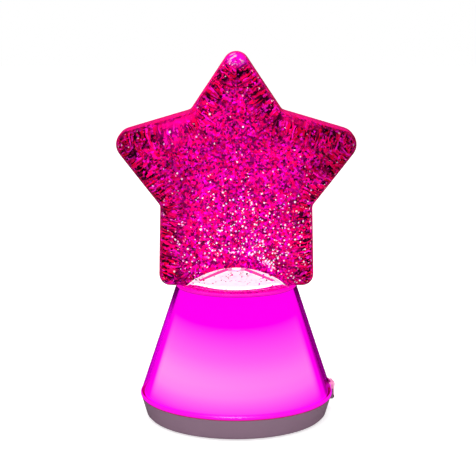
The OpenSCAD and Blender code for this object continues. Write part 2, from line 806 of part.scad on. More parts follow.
// Two leads from the switch's tags to the rim of the light board
module switch_leads() {
    tag_end = boss_face - body_l - tag_l;
    color("black") at_switch() for (side = [-1, 1])
        lead([tag_end, side * lead_gap, switch_z + side * body_h / 4], [-lead_pull, 0, 0],
            [board_r - 2 * lead_r, side * lead_gap, board_z], [0, 0, -lead_pull / 4], [0, 1, 0], 10);
}

base_cup();
rubber_feet();
base_screws();
battery_door();
door_screws();
battery_box();
battery_cells();
battery_springs();
battery_contacts();
led_board();
led_chips();
board_screws();
switch_housing();
switch_rocker();
switch_pin();
switch_terminals();
cone_shade();
cone_diffuser();
bottle_cup();
motor_can();
motor_shaft();
motor_screws();
magnet_carrier();
drive_magnets();
bottle_plug();
plug_seal();
stirrer();
stirrer_magnets();
stirrer_pin();
star_bottle();
glitter_liquid();
motor_leads();
battery_leads();
switch_leads();
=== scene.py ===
import json
import math

import bpy
import numpy as np
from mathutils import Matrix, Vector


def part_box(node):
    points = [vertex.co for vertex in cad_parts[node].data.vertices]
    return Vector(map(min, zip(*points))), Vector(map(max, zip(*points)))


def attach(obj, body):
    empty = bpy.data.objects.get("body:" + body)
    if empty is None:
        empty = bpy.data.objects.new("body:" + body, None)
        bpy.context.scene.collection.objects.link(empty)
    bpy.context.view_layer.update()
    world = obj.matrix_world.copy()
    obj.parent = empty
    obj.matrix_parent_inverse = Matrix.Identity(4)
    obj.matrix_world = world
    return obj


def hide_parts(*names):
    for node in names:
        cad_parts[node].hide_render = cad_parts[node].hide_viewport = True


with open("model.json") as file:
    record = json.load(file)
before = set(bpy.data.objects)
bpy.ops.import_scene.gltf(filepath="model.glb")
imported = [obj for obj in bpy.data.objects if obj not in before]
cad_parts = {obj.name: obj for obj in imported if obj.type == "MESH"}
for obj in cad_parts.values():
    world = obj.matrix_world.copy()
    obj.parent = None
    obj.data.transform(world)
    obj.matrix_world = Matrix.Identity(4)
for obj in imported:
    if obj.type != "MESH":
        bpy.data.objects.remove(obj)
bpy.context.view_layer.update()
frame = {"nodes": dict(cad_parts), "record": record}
nodes = frame["nodes"]
scene = bpy.context.scene
mm = 0.001


# A linear colour from the 0 to 255 values of a screen colour
def screenColour(red, green, blue):
    share = np.array([red, green, blue]) / 255
    linear = np.where(share <= 0.04045, share / 12.92, ((share + 0.055) / 1.055) ** 2.4)
    return (*linear.tolist(), 1.0)


# A socket takes another node's output, a value, or the 0 to 255 values of a screen colour
def fillSocket(socket, value):
    if isinstance(value, bpy.types.NodeSocket):
        socket.id_data.links.new(value, socket)
    else:
        isScreen = socket.type == "RGBA" and len(value) == 3
        socket.default_value = screenColour(*value) if isScreen else value


# A node's outputs, from its settings and inputs; its tree is that of the first socket among them
def addNode(kind, inputs, tree=None, **settings):
    if tree is None:
        tree = next(value.id_data for value in inputs.values() if isinstance(value, bpy.types.NodeSocket))
    node = tree.nodes.new("ShaderNode" + kind)
    for key, value in settings.items():
        setattr(node, key, value)
    for key, value in inputs.items():
        fillSocket(node.inputs[key], value)
    return node.outputs


def mathOf(operation, *values, clamp=False):
    return addNode("Math", dict(enumerate(values)), operation=operation, use_clamp=clamp)[0]


def productOf(first, *others):
    for other in others:
        first = mathOf("MULTIPLY", first, other)
    return first


# A straight line: the start plus the slope times the value; lessOf is one less a share of the value
def lineOf(value, slope, start, clamp=False):
    return mathOf("MULTIPLY_ADD", value, slope, start, clamp=clamp)


def lessOf(value, share):
    return lineOf(value, -share, 1.0)


# A vector from one or two others; measureOf gives a length, a distance or a dot product instead
def vectorOf(operation, *values):
    return addNode("VectorMath", dict(enumerate(values)), operation=operation)[0]


def measureOf(operation, *values):
    return addNode("VectorMath", dict(enumerate(values)), operation=operation)["Value"]


def scaledOf(vector, factor):
    return addNode("VectorMath", {0: vector, "Scale": factor}, operation="SCALE")[0]


# Flat coordinates counted in cells of a width and a length
def stretchedOf(vector, cell):
    return vectorOf("DIVIDE", vector, (*cell, 1.0))


def axisOf(vector, axis):
    return addNode("SeparateXYZ", {"Vector": vector})[axis]


# Distance from the lamp's axis, with x counted more or less than y
def radiusOf(place, narrow=1.0):
    return measureOf("LENGTH", vectorOf("MULTIPLY", place, (narrow, 1, 0)))


def noiseOf(place, scale, detail, output="Fac", **settings):
    return addNode("TexNoise", {"Vector": place, "Scale": scale, "Detail": detail}, **settings)[output]


# The value carried in a straight line from one span to another
def carryOf(value, span, onto=(0.0, 1.0), **settings):
    ends = {"From Min": span[0], "From Max": span[1], "To Min": onto[0], "To Max": onto[1]}
    return addNode("MapRange", {"Value": value, **ends}, **settings)[0]


# The value carried from the span low..high to 0..1, with soft ends
def fadeOf(value, low, high):
    return carryOf(value, (low, high), interpolation_type="SMOOTHSTEP")


def mixOf(share, first, second, blend="MIX"):
    return addNode("Mix", {0: share, 6: first, 7: second}, data_type="RGBA", blend_type=blend)[2]


# Colours along a ramp; steps is True for plain bands with no blending
def rampOf(value, stops, steps=False):
    colour = addNode("ValToRGB", {"Fac": value})["Color"]
    band = colour.node.color_ramp
    band.interpolation = "CONSTANT" if steps else "LINEAR"
    while len(band.elements) < len(stops):
        band.elements.new(1.0)
    for element, stop in zip(band.elements, stops):
        element.position, element.color = stop
    return colour


# Sockets of a shader by name, with underscores for spaces
def feed(shader, **sockets):
    for key, value in sockets.items():
        fillSocket(shader.inputs[key.replace("_", " ")], value)


def addSurface(tree, surface):
    tree.links.new(surface, tree.nodes.new("ShaderNodeOutputMaterial").inputs["Surface"])


# An empty material with one Principled shader on its output
def newMaterial(name, **sockets):
    material = bpy.data.materials.new(name)
    material.use_nodes = True
    tree = material.node_tree
    tree.nodes.clear()
    shader = tree.nodes.new("ShaderNodeBsdfPrincipled")
    addSurface(tree, shader.outputs[0])
    feed(shader, **sockets)
    return material, tree, shader


def litMaterial(name, finish, **sockets):
    return newMaterial(name, Roughness=finish["rough"], Emission_Strength=finish["strength"], **sockets)


def coordsOf(tree):
    return addNode("TexCoord", {}, tree)


plasticGrain = {"driftScale": 45.0, "patchy": 0.15, "patchyLow": 0.07, "bumpHigh": 0.2 * mm}
plastics = {
    "base_plastic": {"colour": (126, 98, 117), "drift": 0.08, "rough": 0.5, "grain": 2600.0, "bump": 0.25},
    "foot_rubber": {"colour": (38, 37, 40), "drift": 0.2, "rough": 0.85, "grain": 1500.0, "bump": 0.4},
    "white_plastic": {"colour": (232, 230, 228), "drift": 0.05, "rough": 0.45, "grain": 2e3, "bump": 0.15},
    "cell_sleeve": {"colour": (196, 148, 62), "drift": 0.1, "rough": 0.3, "grain": 900.0, "bump": 0.05},
    "circuit_board": {"colour": (28, 92, 54), "drift": 0.25, "rough": 0.35, "grain": 700.0, "bump": 0.1},
    "lead_red": {"colour": (178, 24, 26), "drift": 0.1, "rough": 0.35, "grain": 1200.0, "bump": 0.1},
    "lead_black": {"colour": (26, 26, 28), "drift": 0.15, "rough": 0.35, "grain": 1200.0, "bump": 0.1},
}


# Moulded plastic or rubber: slow colour drift, fine grain in the bump, and patchy gloss
def mouldedPlastic(name, finish):
    material, tree, shader = newMaterial(name)
    place = coordsOf(tree)["Object"]
    drift = noiseOf(place, plasticGrain["driftScale"], 3.0)
    grain = noiseOf(place, finish["grain"], 2.0)
    colour = screenColour(*finish["colour"])
    darker = (*[c * (1 - finish["drift"]) for c in colour[:3]], 1.0)
    rough = lineOf(grain, plasticGrain["patchy"], finish["rough"] - plasticGrain["patchyLow"])
    relief = {"Height": grain, "Strength": finish["bump"], "Distance": plasticGrain["bumpHigh"]}
    bump = addNode("Bump", relief)[0]
    feed(shader, Base_Color=mixOf(drift, darker, colour), Roughness=rough, Normal=bump)
    return material


metalGrain = {"streakScale": 900.0, "patchScale": 160.0, "dull": 0.72, "patchy": 0.25, "patchyLow": 0.12}
metals = {
    "screw_steel": {"colour": (190, 192, 196), "streak": 1.0, "rough": 0.35},
    "spring_steel": {"colour": (204, 205, 208), "streak": 1.0, "rough": 0.3},
    "terminal_brass": {"colour": (214, 178, 96), "streak": 1.0, "rough": 0.32},
    "motor_steel": {"colour": (186, 187, 190), "streak": 0.05, "rough": 0.38},
    "shaft_steel": {"colour": (212, 213, 215), "streak": 0.1, "rough": 0.2},
    "magnet": {"colour": (158, 160, 166), "streak": 1.0, "rough": 0.25},
}


# Plated or drawn metal: fine streaks along Z in the gloss, and slight dulling in patches
def platedMetal(name, finish):
    material, tree, shader = newMaterial(name, Metallic=1.0)
    place = coordsOf(tree)["Object"]
    along = vectorOf("MULTIPLY", place, (1.0, 1.0, finish["streak"]))
    streaks = noiseOf(along, metalGrain["streakScale"], 2.0)
    patches = noiseOf(place, metalGrain["patchScale"], 3.0)
    colour = screenColour(*finish["colour"])
    dull = (*[c * metalGrain["dull"] for c in colour[:3]], 1.0)
    rough = lineOf(streaks, metalGrain["patchy"], finish["rough"] - metalGrain["patchyLow"])
    feed(shader, Base_Color=mixOf(patches, dull, colour), Roughness=rough)
    return material


materials = {slot: mouldedPlastic(slot, finish) for slot, finish in plastics.items()}
materials.update({slot: platedMetal(slot, finish) for slot, finish in metals.items()})
print("plain finishes:", len(materials))

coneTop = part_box("cone_shade")[1].z
rim = coneTop - 81 * mm  # where the cone meets the base
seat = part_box("bottle_cup")[1].z  # where the bottle stands


# Frosted sleeve, lit from inside: its glow is painted light, a pool of pale pink low down over the lamps
# that turns to deep magenta at the top, in the painted shade of the cup
sleeveGlow = {
    "red": 1.0, "blue": 0.86,
    "green": [(1, 0.02), (4, 0.06), (9, 0.125), (14, 0.2), (21, 0.235), (27, 0.215), (38, 0.12),
              (48, 0.066), (57, 0.016), (60, 0.0), (81, 0.0)],  # mm above the rim, share of green
    # painted light: the pale pool sits higher at the two sides and is less pale on the right-hand side
    "lift": 4 * mm,  # how much higher the same glow sits at the two sides
    "lean": 0.25,  # share of green lost from the middle to the right-hand side
    "body": (70, 0, 60), "rough": 0.6, "strength": 1.0,
}


# Green follows the height above the rim, less a lift that grows with the square of the side's share
def frostedSleeve(name, glow):
    material, tree, shader = litMaterial(name, glow, Base_Color=glow["body"], Specular_IOR_Level=0.0)
    place = coordsOf(tree)["Object"]
    low, high = (glow["green"][i][0] for i in (0, -1))
    side = axisOf(vectorOf("NORMALIZE", vectorOf("MULTIPLY", place, (1, 1, 0))), "X")
    level = mathOf("ADD", axisOf(place, "Z"), productOf(side, side, -glow["lift"]))
    height = carryOf(level, (rim + low * mm, rim + high * mm))
    stops = [((z - low) / (high - low), (g, g, g, 1.0)) for z, g in glow["green"]]
    green = productOf(rampOf(height, stops), lessOf(side, glow["lean"]))
    colour = addNode("CombineColor", {"Red": glow["red"], "Green": green, "Blue": glow["blue"]})
    feed(shader, Emission_Color=colour[0])
    return material


materials["cone_frost"] = frostedSleeve("cone_frost", sleeveGlow)


# Clear cone wall: see-through in front, tinted by how long the wall is along the look, glossy on top
coneTint = {
    "left": [(0.0, (1, 1, 1, 1)), (0.535, (1, 1, 1, 1)), (0.575, (1, 0.85, 1, 1)), (0.615, (1, 0.55, 1, 1)),
             (0.645, (1, 0.1, 1, 1)), (0.665, (1, 0, 1, 1)), (0.8, (0.95, 0, 0.93, 1)),
             (1.0, (0.82, 0, 0.8, 1))],
    "right": [(0.0, (1, 1, 1, 1)), (0.49, (1, 1, 1, 1)), (0.53, (1, 0.8, 1, 1)), (0.57, (1, 0.5, 1, 1)),
              (0.61, (1, 0.08, 1, 1)), (0.63, (1, 0, 1, 1)), (0.8, (0.95, 0, 0.9, 1)),
              (1.0, (0.9, 0, 0.85, 1))],
    "middle": (-20 * mm, 20 * mm),  # the left-hand tint turns into the right-hand one between these
    "line": (69.2 * mm, 43.4 * mm),  # the outer face's radius above the lip and at the top
    "skin": (-1.4 * mm, -0.7 * mm),  # how far inside that line the outer face is told from the inner
    "deep": (0.26, 0.0, 0.24, 1),  # darker edges high up, where no light comes from below
    "deepFacing": (0.61, 0.68),
    "deepAll": 0.74,  # share of that lower down on the right
    # painted shade: a thinner dark line lower down on the left
    "softFacing": (0.62, 0.86),  # a thinner dark line lower down on the left
    "softAll": 0.45,
    "deepLeft": (50 * mm, 79 * mm),  # heights above the rim between which they darken
    "deepRight": (46 * mm, 80 * mm),
    "gloss": 0.06,
    "mirror": 0.05,  # share mirrored at a glancing look
    "mirrorLeast": 0.012,  # and straight on
    "mirrorPower": 5.0,
    "lip": 3.2 * mm,  # height of the lip, where the wall's own light comes out
    "lipSoft": (0.4 * mm, -0.2 * mm),
    "lipMirror": 0.28,  # the rounded lip is less polished
    "lipGloss": 0.3, "lipGlow": (255, 6, 238),
    "lipFoot": (226, 0, 100),  # redder light low on the lip
    "footSpan": (1.2 * mm, 0.3 * mm),
    "boss": (226, 132, 178),  # milky light in the boss round the switch
    "bossSpan": (0.1 * mm, 0.4 * mm), "bossShare": 0.75,
}


# Tint by how flat the look is, sooner on the right-hand side; the outer face alone darkens at its edges
# with painted shade, most of all high up
def wallTint(axes, radius, facing, tint):
    toRight = fadeOf(axes["X"], *tint["middle"])
    colour = mixOf(toRight, rampOf(facing, tint["left"]), rampOf(facing, tint["right"]))
    outer = carryOf(axes["Z"], (rim + tint["lip"], coneTop), tint["line"])
    onOuter = fadeOf(mathOf("SUBTRACT", radius, outer), *tint["skin"])
    left, right = (fadeOf(axes["Z"], *(rim + height for height in tint[key]))
                   for key in ("deepLeft", "deepRight"))
    rise = lineOf(mathOf("SUBTRACT", right, left), toRight, left)
    rise = mathOf("MAXIMUM", rise, productOf(toRight, tint["deepAll"]))
    glancing = productOf(fadeOf(facing, *tint["deepFacing"]), rise)
    soft = productOf(fadeOf(facing, *tint["softFacing"]), tint["softAll"])
    darker = productOf(mathOf("MAXIMUM", glancing, soft), onOuter)
    return mixOf(darker, colour, tint["deep"], blend="MULTIPLY")


def clearWall(name, tint):
    material, tree = newMaterial(name)[:2]
    tree.nodes.clear()
    place = coordsOf(tree)["Object"]
    axes = addNode("SeparateXYZ", {"Vector": place})
    radius = radiusOf(place)
    facing = addNode("LayerWeight", {"Blend": 0.5}, tree)["Facing"]
    clear = addNode("BsdfTransparent", {"Color": wallTint(axes, radius, facing, tint)})[0]
    lip = fadeOf(axes["Z"], *(rim + tint["lip"] + soft for soft in tint["lipSoft"]))
    foot = fadeOf(axes["Z"], *(rim + height for height in tint["footSpan"]))
    rimRadius = -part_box("cone_shade")[0].x
    boss = fadeOf(radius, *(rimRadius + out for out in tint["bossSpan"]))
    glow = mixOf(boss, mixOf(foot, tint["lipGlow"], tint["lipFoot"]), tint["boss"])
    edge = addNode("Emission", {"Color": glow, "Strength": 1 / (1 - tint["lipMirror"])})[0]
    share = mathOf("MAXIMUM", lip, productOf(boss, tint["bossShare"]))
    wall = addNode("MixShader", {0: share, 1: clear, 2: edge})[0]
    polish = lineOf(lip, tint["lipGloss"] - tint["gloss"], tint["gloss"])
    gloss = addNode("BsdfGlossy", {"Color": (1, 1, 1, 1), "Roughness": polish})[0]
    mirror = lineOf(mathOf("POWER", facing, tint["mirrorPower"]), tint["mirror"], tint["mirrorLeast"])
    mirror = lineOf(lip, tint["lipMirror"], mirror)
    addSurface(tree, addNode("MixShader", {0: mirror, 1: wall, 2: gloss})[0])
    return material


materials["cone_clear"] = clearWall("cone_clear", coneTint)

# Milky or tinted plastic with light behind it; dark is the unlit colour below darkSpan
switchSpan = (rim - 5.6 * mm, rim - 4.2 * mm)
litFinishes = {
    "cup_plastic": {"deep": (244, 0, 182), "bright": (252, 2, 200), "body": (90, 0, 70), "strength": 1.0,
                    "scale": 60.0, "rough": 0.35, "shine": 0.1,
                    "dark": (150, 10, 80), "darkSpan": (seat - 1.3 * mm, seat - 1.0 * mm)},
    "led_lens": {"deep": (255, 226, 150), "bright": (255, 250, 240), "body": (240, 230, 200),
                 "strength": 1.5, "scale": 400.0, "rough": 0.25, "shine": 0.5},
    "switch_plastic": {"deep": (214, 120, 168), "bright": (246, 190, 220), "body": (226, 168, 196),
                       "strength": 0.25, "scale": 300.0, "rough": 0.3, "shine": 0.4,
                       "dark": (96, 62, 76), "darkSpan": switchSpan},
    "rocker_plastic": {"deep": (236, 160, 200), "bright": (255, 220, 238), "body": (240, 196, 220),
                       "strength": 0.25, "scale": 300.0, "rough": 0.25, "shine": 0.4,
                       "dark": (104, 70, 84), "darkSpan": switchSpan},
}


# A glow that drifts a little, under a soft gloss
def litPlastic(name, finish):
    sockets = {"Base_Color": finish["body"], "Specular_IOR_Level": finish["shine"]}
    material, tree, shader = litMaterial(name, finish, **sockets)
    place = coordsOf(tree)["Object"]
    glow = mixOf(noiseOf(place, finish["scale"], 2.0), finish["deep"], finish["bright"])
    if "dark" in finish:
        above = fadeOf(axisOf(place, "Z"), *finish["darkSpan"])
        glow = mixOf(above, (0, 0, 0, 1), glow)
        feed(shader, Base_Color=mixOf(above, finish["dark"], finish["body"]))
    feed(shader, Emission_Color=glow)
    return material


materials.update({slot: litPlastic(slot, finish) for slot, finish in litFinishes.items()})

plugGlow = {"white": (255, 250, 254), "rim": (250, 2, 184), "rimSpan": (29.2 * mm, 29.9 * mm),
            "narrow": 1.25, "ripple": 220.0, "uneven": 0.6 * mm, "body": (245, 235, 240),
            "rough": 0.4, "strength": 1.1}


# Milky plug over the lamps, glowing with painted light: white, turning pink towards its rim, sooner at the
# two sides
def milkyPlug(name, glow):
    material, tree, shader = litMaterial(name, glow, Base_Color=glow["body"])
    place = coordsOf(tree)["Object"]
    ripple = noiseOf(place, glow["ripple"], 2.0)
    outward = fadeOf(lineOf(ripple, glow["uneven"], radiusOf(place, glow["narrow"])), *glow["rimSpan"])
    feed(shader, Emission_Color=mixOf(outward, glow["white"], glow["rim"]))
    return material


materials["plug_plastic"] = milkyPlug("plug_plastic", plugGlow)

# Milky stirrer, glowing with painted light as if lit by the plug under it: white on its slope, with painted
# pink shade along its ribs and rim
stirrerLow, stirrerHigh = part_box("stirrer")
stirrerGlow = {
    "white": (255, 248, 253), "pink": (240, 60, 160), "body": (150, 140, 146), "ribBody": (120, 0, 60),
    "hub": 5.0 * mm, "height": 4.8 * mm, "rimHeight": 1.6 * mm, "ribLift": (0.25 * mm, 0.5 * mm),
    "hubSpan": (5.6 * mm, 5.2 * mm), "hubShare": 0.7,
    "edgeSpan": (stirrerHigh.x - 0.9 * mm, stirrerHigh.x - 0.3 * mm), "edgeShare": 0.15,
    "ripple": 500.0, "rippleSpan": (0.5, 0.72), "rippleShare": 0.3,
    "rough": 0.3, "strength": 1.0,
}


# Ribs are what stands above the straight line from the hub's top to the rim's top
def milkyStirrer(name, glow):
    material, tree, shader = litMaterial(name, glow)
    place = coordsOf(tree)["Object"]
    radius = radiusOf(place)
    tops = [stirrerLow.z + glow[key] for key in ("height", "rimHeight")]
    slope = carryOf(radius, (glow["hub"], stirrerHigh.x), tops)
    lift = mathOf("SUBTRACT", axisOf(place, "Z"), slope)
    pink = fadeOf(lift, *glow["ribLift"])
    waves = noiseOf(place, glow["ripple"], 2.0)
    for value, key in ((radius, "hub"), (radius, "edge"), (waves, "ripple")):
        faint = productOf(fadeOf(value, *glow[key + "Span"]), glow[key + "Share"])
        pink = mathOf("MAXIMUM", pink, faint)
    feed(shader, Emission_Color=mixOf(pink, glow["white"], glow["pink"]))
    feed(shader, Base_Color=mixOf(pink, glow["body"], glow["ribBody"]))
    return material


materials["stirrer_clear"] = milkyStirrer("stirrer_clear", stirrerGlow)

bottleClear = {
    "deep": (255, 244, 251), "pale": (255, 252, 254), "index": 1.38, "shine": 0.15, "flow": 60.0,
    "rough": 0.02, "patchy": 0.04,
    "rim": (234, 8, 116), "rimLight": 0.3, "rimSpan": (1.1 * mm, 0.33 * mm),
    "rimTop": (255, 0, 140), "topLight": 0.6, "topSpan": (0.2, 0.8),
    # painted light: edges that face this way, up and to the left, glow brighter as if lit from above
    "topWay": (-0.45, 0.0, 0.9),  # brighter on edges that face this way
}


# Clear plastic that bends what is seen through it a little; its edge pipes the lamp's light
def clearPlastic(name, finish):
    sockets = {"IOR": finish["index"], "Specular_IOR_Level": finish["shine"]}
    material, tree, shader = newMaterial(name, Transmission_Weight=1.0, **sockets)
    coords = coordsOf(tree)
    flow = noiseOf(coords["Object"], finish["flow"], 1.0)
    rough = lineOf(flow, finish["patchy"], finish["rough"] - finish["patchy"] / 2, clamp=True)
    clear = mixOf(flow, finish["deep"], finish["pale"])
    piped = fadeOf(axisOf(coords["UV"], "Y"), *finish["rimSpan"])
    lean = measureOf("DOT_PRODUCT", coords["Normal"], finish["topWay"])
    upward = fadeOf(lean, *finish["topSpan"])
    edge = mixOf(upward, finish["rim"], finish["rimTop"])
    light = lineOf(upward, finish["topLight"] - finish["rimLight"], finish["rimLight"])
    feed(shader, Base_Color=mixOf(piped, clear, edge), Roughness=rough)
    feed(shader, Emission_Color=edge, Emission_Strength=productOf(piped, light))
    return material


materials["bottle_clear"] = clearPlastic("bottle_clear", bottleClear)
print("lit and clear finishes ready:", len(materials))


# Glitter: cells of foil colours, drawn out into streaks where the bottle's edge bends the view
glitterLook = {
    # foil colours and their shares, for the flakes and for the streaks
    "palette": [((40, 0, 32), 0.12), ((92, 0, 64), 0.12), ((140, 0, 108), 0.1), ((196, 0, 56), 0.12),
                ((240, 0, 100), 0.18), ((206, 0, 160), 0.1), ((255, 0, 150), 0.16), ((255, 4, 218), 0.1)],
    "drawnOut": [((16, 0, 12), 0.27), ((70, 0, 36), 0.14), ((150, 0, 70), 0.1), ((226, 0, 58), 0.2),
                 ((255, 0, 108), 0.17), ((255, 20, 200), 0.12)],
    "body": 0.3,  # share of the foil's colour that the room's light shows
    "rough": 0.35, "strength": 1.04, "flakeMetal": 0.4, "cell": 1.55 * mm,
    "twist": 1.5 * mm,  # how far the flakes' outlines stray
    "streak": (0.95 * mm, 5.0 * mm),  # width and length
    "streakSpan": (7.0 * mm, 20.0 * mm),  # streaks alone nearer the edge, and none further in
    "ragged": 20.0 * mm,
    "among": 0.2,  # share of dots left among the streaks
    "waver": 2.2 * mm,  # how far streaks stray sideways
    "waverLong": 5.0 * mm,
    "wallSpan": (0.45, 0.2),  # the star's side walls, where streaks would smear
    "wallDots": 0.85,
    # painted light: a smooth glow along edges that face up
    "band": (255, 0, 136),  # smooth glow along edges that face up
    "bandShare": 0.8, "bandSpan": (6.0 * mm, 2.4 * mm), "bandWay": (-0.45, 0.0, 0.9),
    "bandLean": (0.3, 0.95), "bandOffWall": 0.95,
    "notch": (41 * mm, 0.0, seat + 121 * mm),  # the glow is by the notches on both sides
    "notchReach": (7 * mm, 24 * mm),
    # painted light: a patch of glow over the left arm
    "patch": (-44 * mm, 0.0, seat + 112 * mm),  # and spreads over the left arm
    "patchReach": (4 * mm, 16 * mm), "patchGlow": (255, 0, 190), "patchShare": 0.24,
    # painted light: a pool of light from the lamp below, brightest at the heart and fading to the tips
    "heart": (0.0, 0.0, seat + 52 * mm),  # brightest place
    "heartLight": 1.1,
    "squeeze": (1.0, 0.0, 0.55),  # share of each direction in the distance from it
    "reach": (20 * mm, 85 * mm),
    "veil": (242, 0, 152),  # pink light that softens the flakes there
    "veilSpan": (0.6, 0.0), "veilShare": 0.16,
    "armLight": 0.52,  # brightness left in the arms
    "armTone": (1.0, 0.7, 0.7, 1.0),  # their redder light
    "vary": (0.45, 1.7),  # spread of the flakes' own brightness there
    "clump": 3.6 * mm, "clumpSpan": (0.33, 0.67), "clumpLight": (-0.55, 0.55),
    "least": 0.04,
    "cloud": 16.0 * mm, "cloudSpan": (0.3, 0.7), "cloudLight": (0.5, 1.4),
    "underSpan": (-0.15, -0.7),  # shade along edges that face down
    "underShade": 0.35,
    # painted light: a bright glow in the top tip
    "apex": (0.0, 0.0, seat + 166 * mm), "apexReach": (5 * mm, 13 * mm),
    "apexGlow": (255, 6, 232), "apexShare": 0.8, "apexLight": 1.1,
    # painted highlights: the pale arcs in the top tip
    "arc": (9 * mm, 1.1 * mm),  # length and width of the pale arcs in the top tip
    "arcSpan": (0.55, 0.6), "arcReach": (0.35, 0.85), "arcHighlight": (255, 205, 245),
    # painted shade: the arm on this side is dimmer
    "farWay": (0.8, 0.0, 0.6),  # the arm on this side is dimmer
    "farSpan": (seat * 0.6 + 90 * mm, seat * 0.6 + 130 * mm), "farShade": 0.45,
}


# Bands of the palette, each as wide on the ramp as its share
def paletteStops(palette):
    shares = np.array([share for colour, share in palette])
    starts = (np.cumsum(shares) - shares) / shares.sum()
    return [(start, screenColour(*colour)) for start, (colour, share) in zip(starts.tolist(), palette)]


# Light at a place: share of the way from the heart to the tips, and its brightness and tone
def heartLight(place, look):
    offset = vectorOf("SUBTRACT", place, look["heart"])
    away = measureOf("LENGTH", vectorOf("MULTIPLY", offset, look["squeeze"]))
    outward = carryOf(away, look["reach"])
    toFar = fadeOf(measureOf("DOT_PRODUCT", place, look["farWay"]), *look["farSpan"])
    fading = lineOf(outward, look["armLight"] - look["heartLight"], look["heartLight"])
    fading = productOf(fading, lessOf(toFar, look["farShade"]))
    return outward, fading, mixOf(outward, (1, 1, 1, 1), look["armTone"])


# Nearness to a spot seen from the front: 1 inside the first reach, 0 beyond the second
def nearTo(place, spot, reach):
    away = measureOf("DISTANCE", vectorOf("MULTIPLY", place, (1, 0, 1)), spot)
    return fadeOf(away, reach[1], reach[0])


# Noise in three directions, from -0.5 to 0.5
def strayOf(place, length):
    return vectorOf("SUBTRACT", noiseOf(place, 1 / length, 1.0, "Color"), (0.5, 0.5, 0.5))


# Colours of a cell pattern from a palette, and the cells' three random values
def foilCells(place, scale, palette, **settings):
    cells = addNode("TexVoronoi", {"Vector": place, "Scale": scale}, **settings)
    pick = addNode("SeparateColor", {0: cells["Color"]})
    return rampOf(pick[0], paletteStops(palette), steps=True), pick


# Dots of foil whose outlines stray
def foilDots(place, look):
    bent = scaledOf(strayOf(place, look["twist"]), look["twist"])
    return foilCells(vectorOf("ADD", place, bent), 1 / look["cell"], look["palette"])


# Streaks of foil square to the star's edge, drawn on the fill's own coordinates
def foilStreaks(along, stray, look):
    wavy = vectorOf("ADD", along, scaledOf(stray, look["waver"]))
    return foilCells(stretchedOf(wavy, look["streak"]), 1.0, look["drawnOut"], voronoi_dimensions="2D")


# Painted highlights: pale arcs in the top tip, along the star's edge
def tipHighlights(along, atApex, look):
    waves = noiseOf(stretchedOf(along, look["arc"]), 1.0, 1.0, noise_dimensions="2D")
    arcs = productOf(fadeOf(waves, *look["arcSpan"]), fadeOf(atApex, *look["arcReach"]))
    return mixOf(arcs, look["apexGlow"], look["arcHighlight"])


# Brightness of a flake: clouds and shade over all of them, and its own spread and clumps in the arms
def foilLight(place, own, outward, downward, look):
    least, most = look["vary"]
    spread = lineOf(own, most - least, least - 1)
    clump = carryOf(noiseOf(place, 1 / look["clump"], 1.0), look["clumpSpan"], look["clumpLight"])
    varied = lineOf(outward, mathOf("ADD", spread, clump), 1.0)
    varied = mathOf("MAXIMUM", varied, look["least"])
    patchy = carryOf(noiseOf(place, 1 / look["cloud"], 2.0), look["cloudSpan"], look["cloudLight"])
    return productOf(patchy, lessOf(downward, look["underShade"]), varied)


# Foil glows in its colour times a tone, painted light that stands for the lamp's light on it, and shows a
# share of its colour in the room's light
def showFoil(shader, foil, tone, bright):
    toned = mixOf(1.0, foil, tone, blend="MULTIPLY")
    feed(shader, Emission_Color=scaledOf(toned, bright), Base_Color=scaledOf(foil, glitterLook["body"]))


# Painted light: the fill glows as if lit by the lamp below, brightest at its heart, with painted glows,
# highlights and shade laid over the foil
def glitterFill(name, look):
    material, tree, shader = litMaterial(name, look, Specular_IOR_Level=0.0)
    coords = coordsOf(tree)
    place, along, normal = (coords[key] for key in ("Object", "UV", "Normal"))
    outward, fading, tone = heartLight(place, look)

    # dots or streaks
    stray = strayOf(place, look["waverLong"])
    dots, dotPick = foilDots(place, look)
    streaks, linePick = foilStreaks(along, stray, look)
    edge = axisOf(along, "Y")
    inward = fadeOf(lineOf(axisOf(stray, "Z"), look["ragged"], edge), *look["streakSpan"])
    among = mathOf("LESS_THAN", dotPick[1], look["among"])
    onWall = fadeOf(mathOf("ABSOLUTE", axisOf(normal, "Y")), *look["wallSpan"])
    dotted = mathOf("MAXIMUM", inward, among)
    dotted = mathOf("MAXIMUM", dotted, productOf(onWall, look["wallDots"]))
    foil = mixOf(dotted, streaks, dots)
    own = lineOf(dotted, mathOf("SUBTRACT", dotPick[2], linePick[2]), linePick[2])

    # painted light over them: a glow on up-facing edges by the notches, a pink veil, a patch on the left
    # arm, and glow and highlights in the top tip
    lean = fadeOf(measureOf("DOT_PRODUCT", normal, look["bandWay"]), *look["bandLean"])
    nearEdge = fadeOf(edge, *look["bandSpan"])
    atNotch = nearTo(vectorOf("ABSOLUTE", place), look["notch"], look["notchReach"])
    upward = productOf(lean, nearEdge, atNotch, lessOf(onWall, look["bandOffWall"]))
    veiled = productOf(fadeOf(outward, *look["veilSpan"]), look["veilShare"])
    patch = productOf(nearTo(place, look["patch"], look["patchReach"]), look["patchShare"])
    atApex = nearTo(place, look["apex"], look["apexReach"])
    banded = productOf(upward, look["bandShare"])
    for share, key in ((banded, "band"), (veiled, "veil"), (patch, "patchGlow")):
        foil = mixOf(share, foil, look[key])
    foil = mixOf(productOf(atApex, look["apexShare"]), foil, tipHighlights(along, atApex, look))

    # brightness: the painted pool of light from the heart, painted shade under down-facing edges, and the
    # painted glows
    downward = productOf(fadeOf(axisOf(normal, "Z"), *look["underSpan"]), lessOf(inward, 1.0))
    bright = productOf(foilLight(place, own, outward, downward, look), fading)
    bright = mathOf("MAXIMUM", lineOf(bright, patch, bright), upward)
    bright = mathOf("MAXIMUM", bright, productOf(atApex, look["apexLight"]))
    showFoil(shader, foil, tone, bright)
    return material


materials["glitter_liquid"] = glitterFill("glitter_liquid", glitterLook)


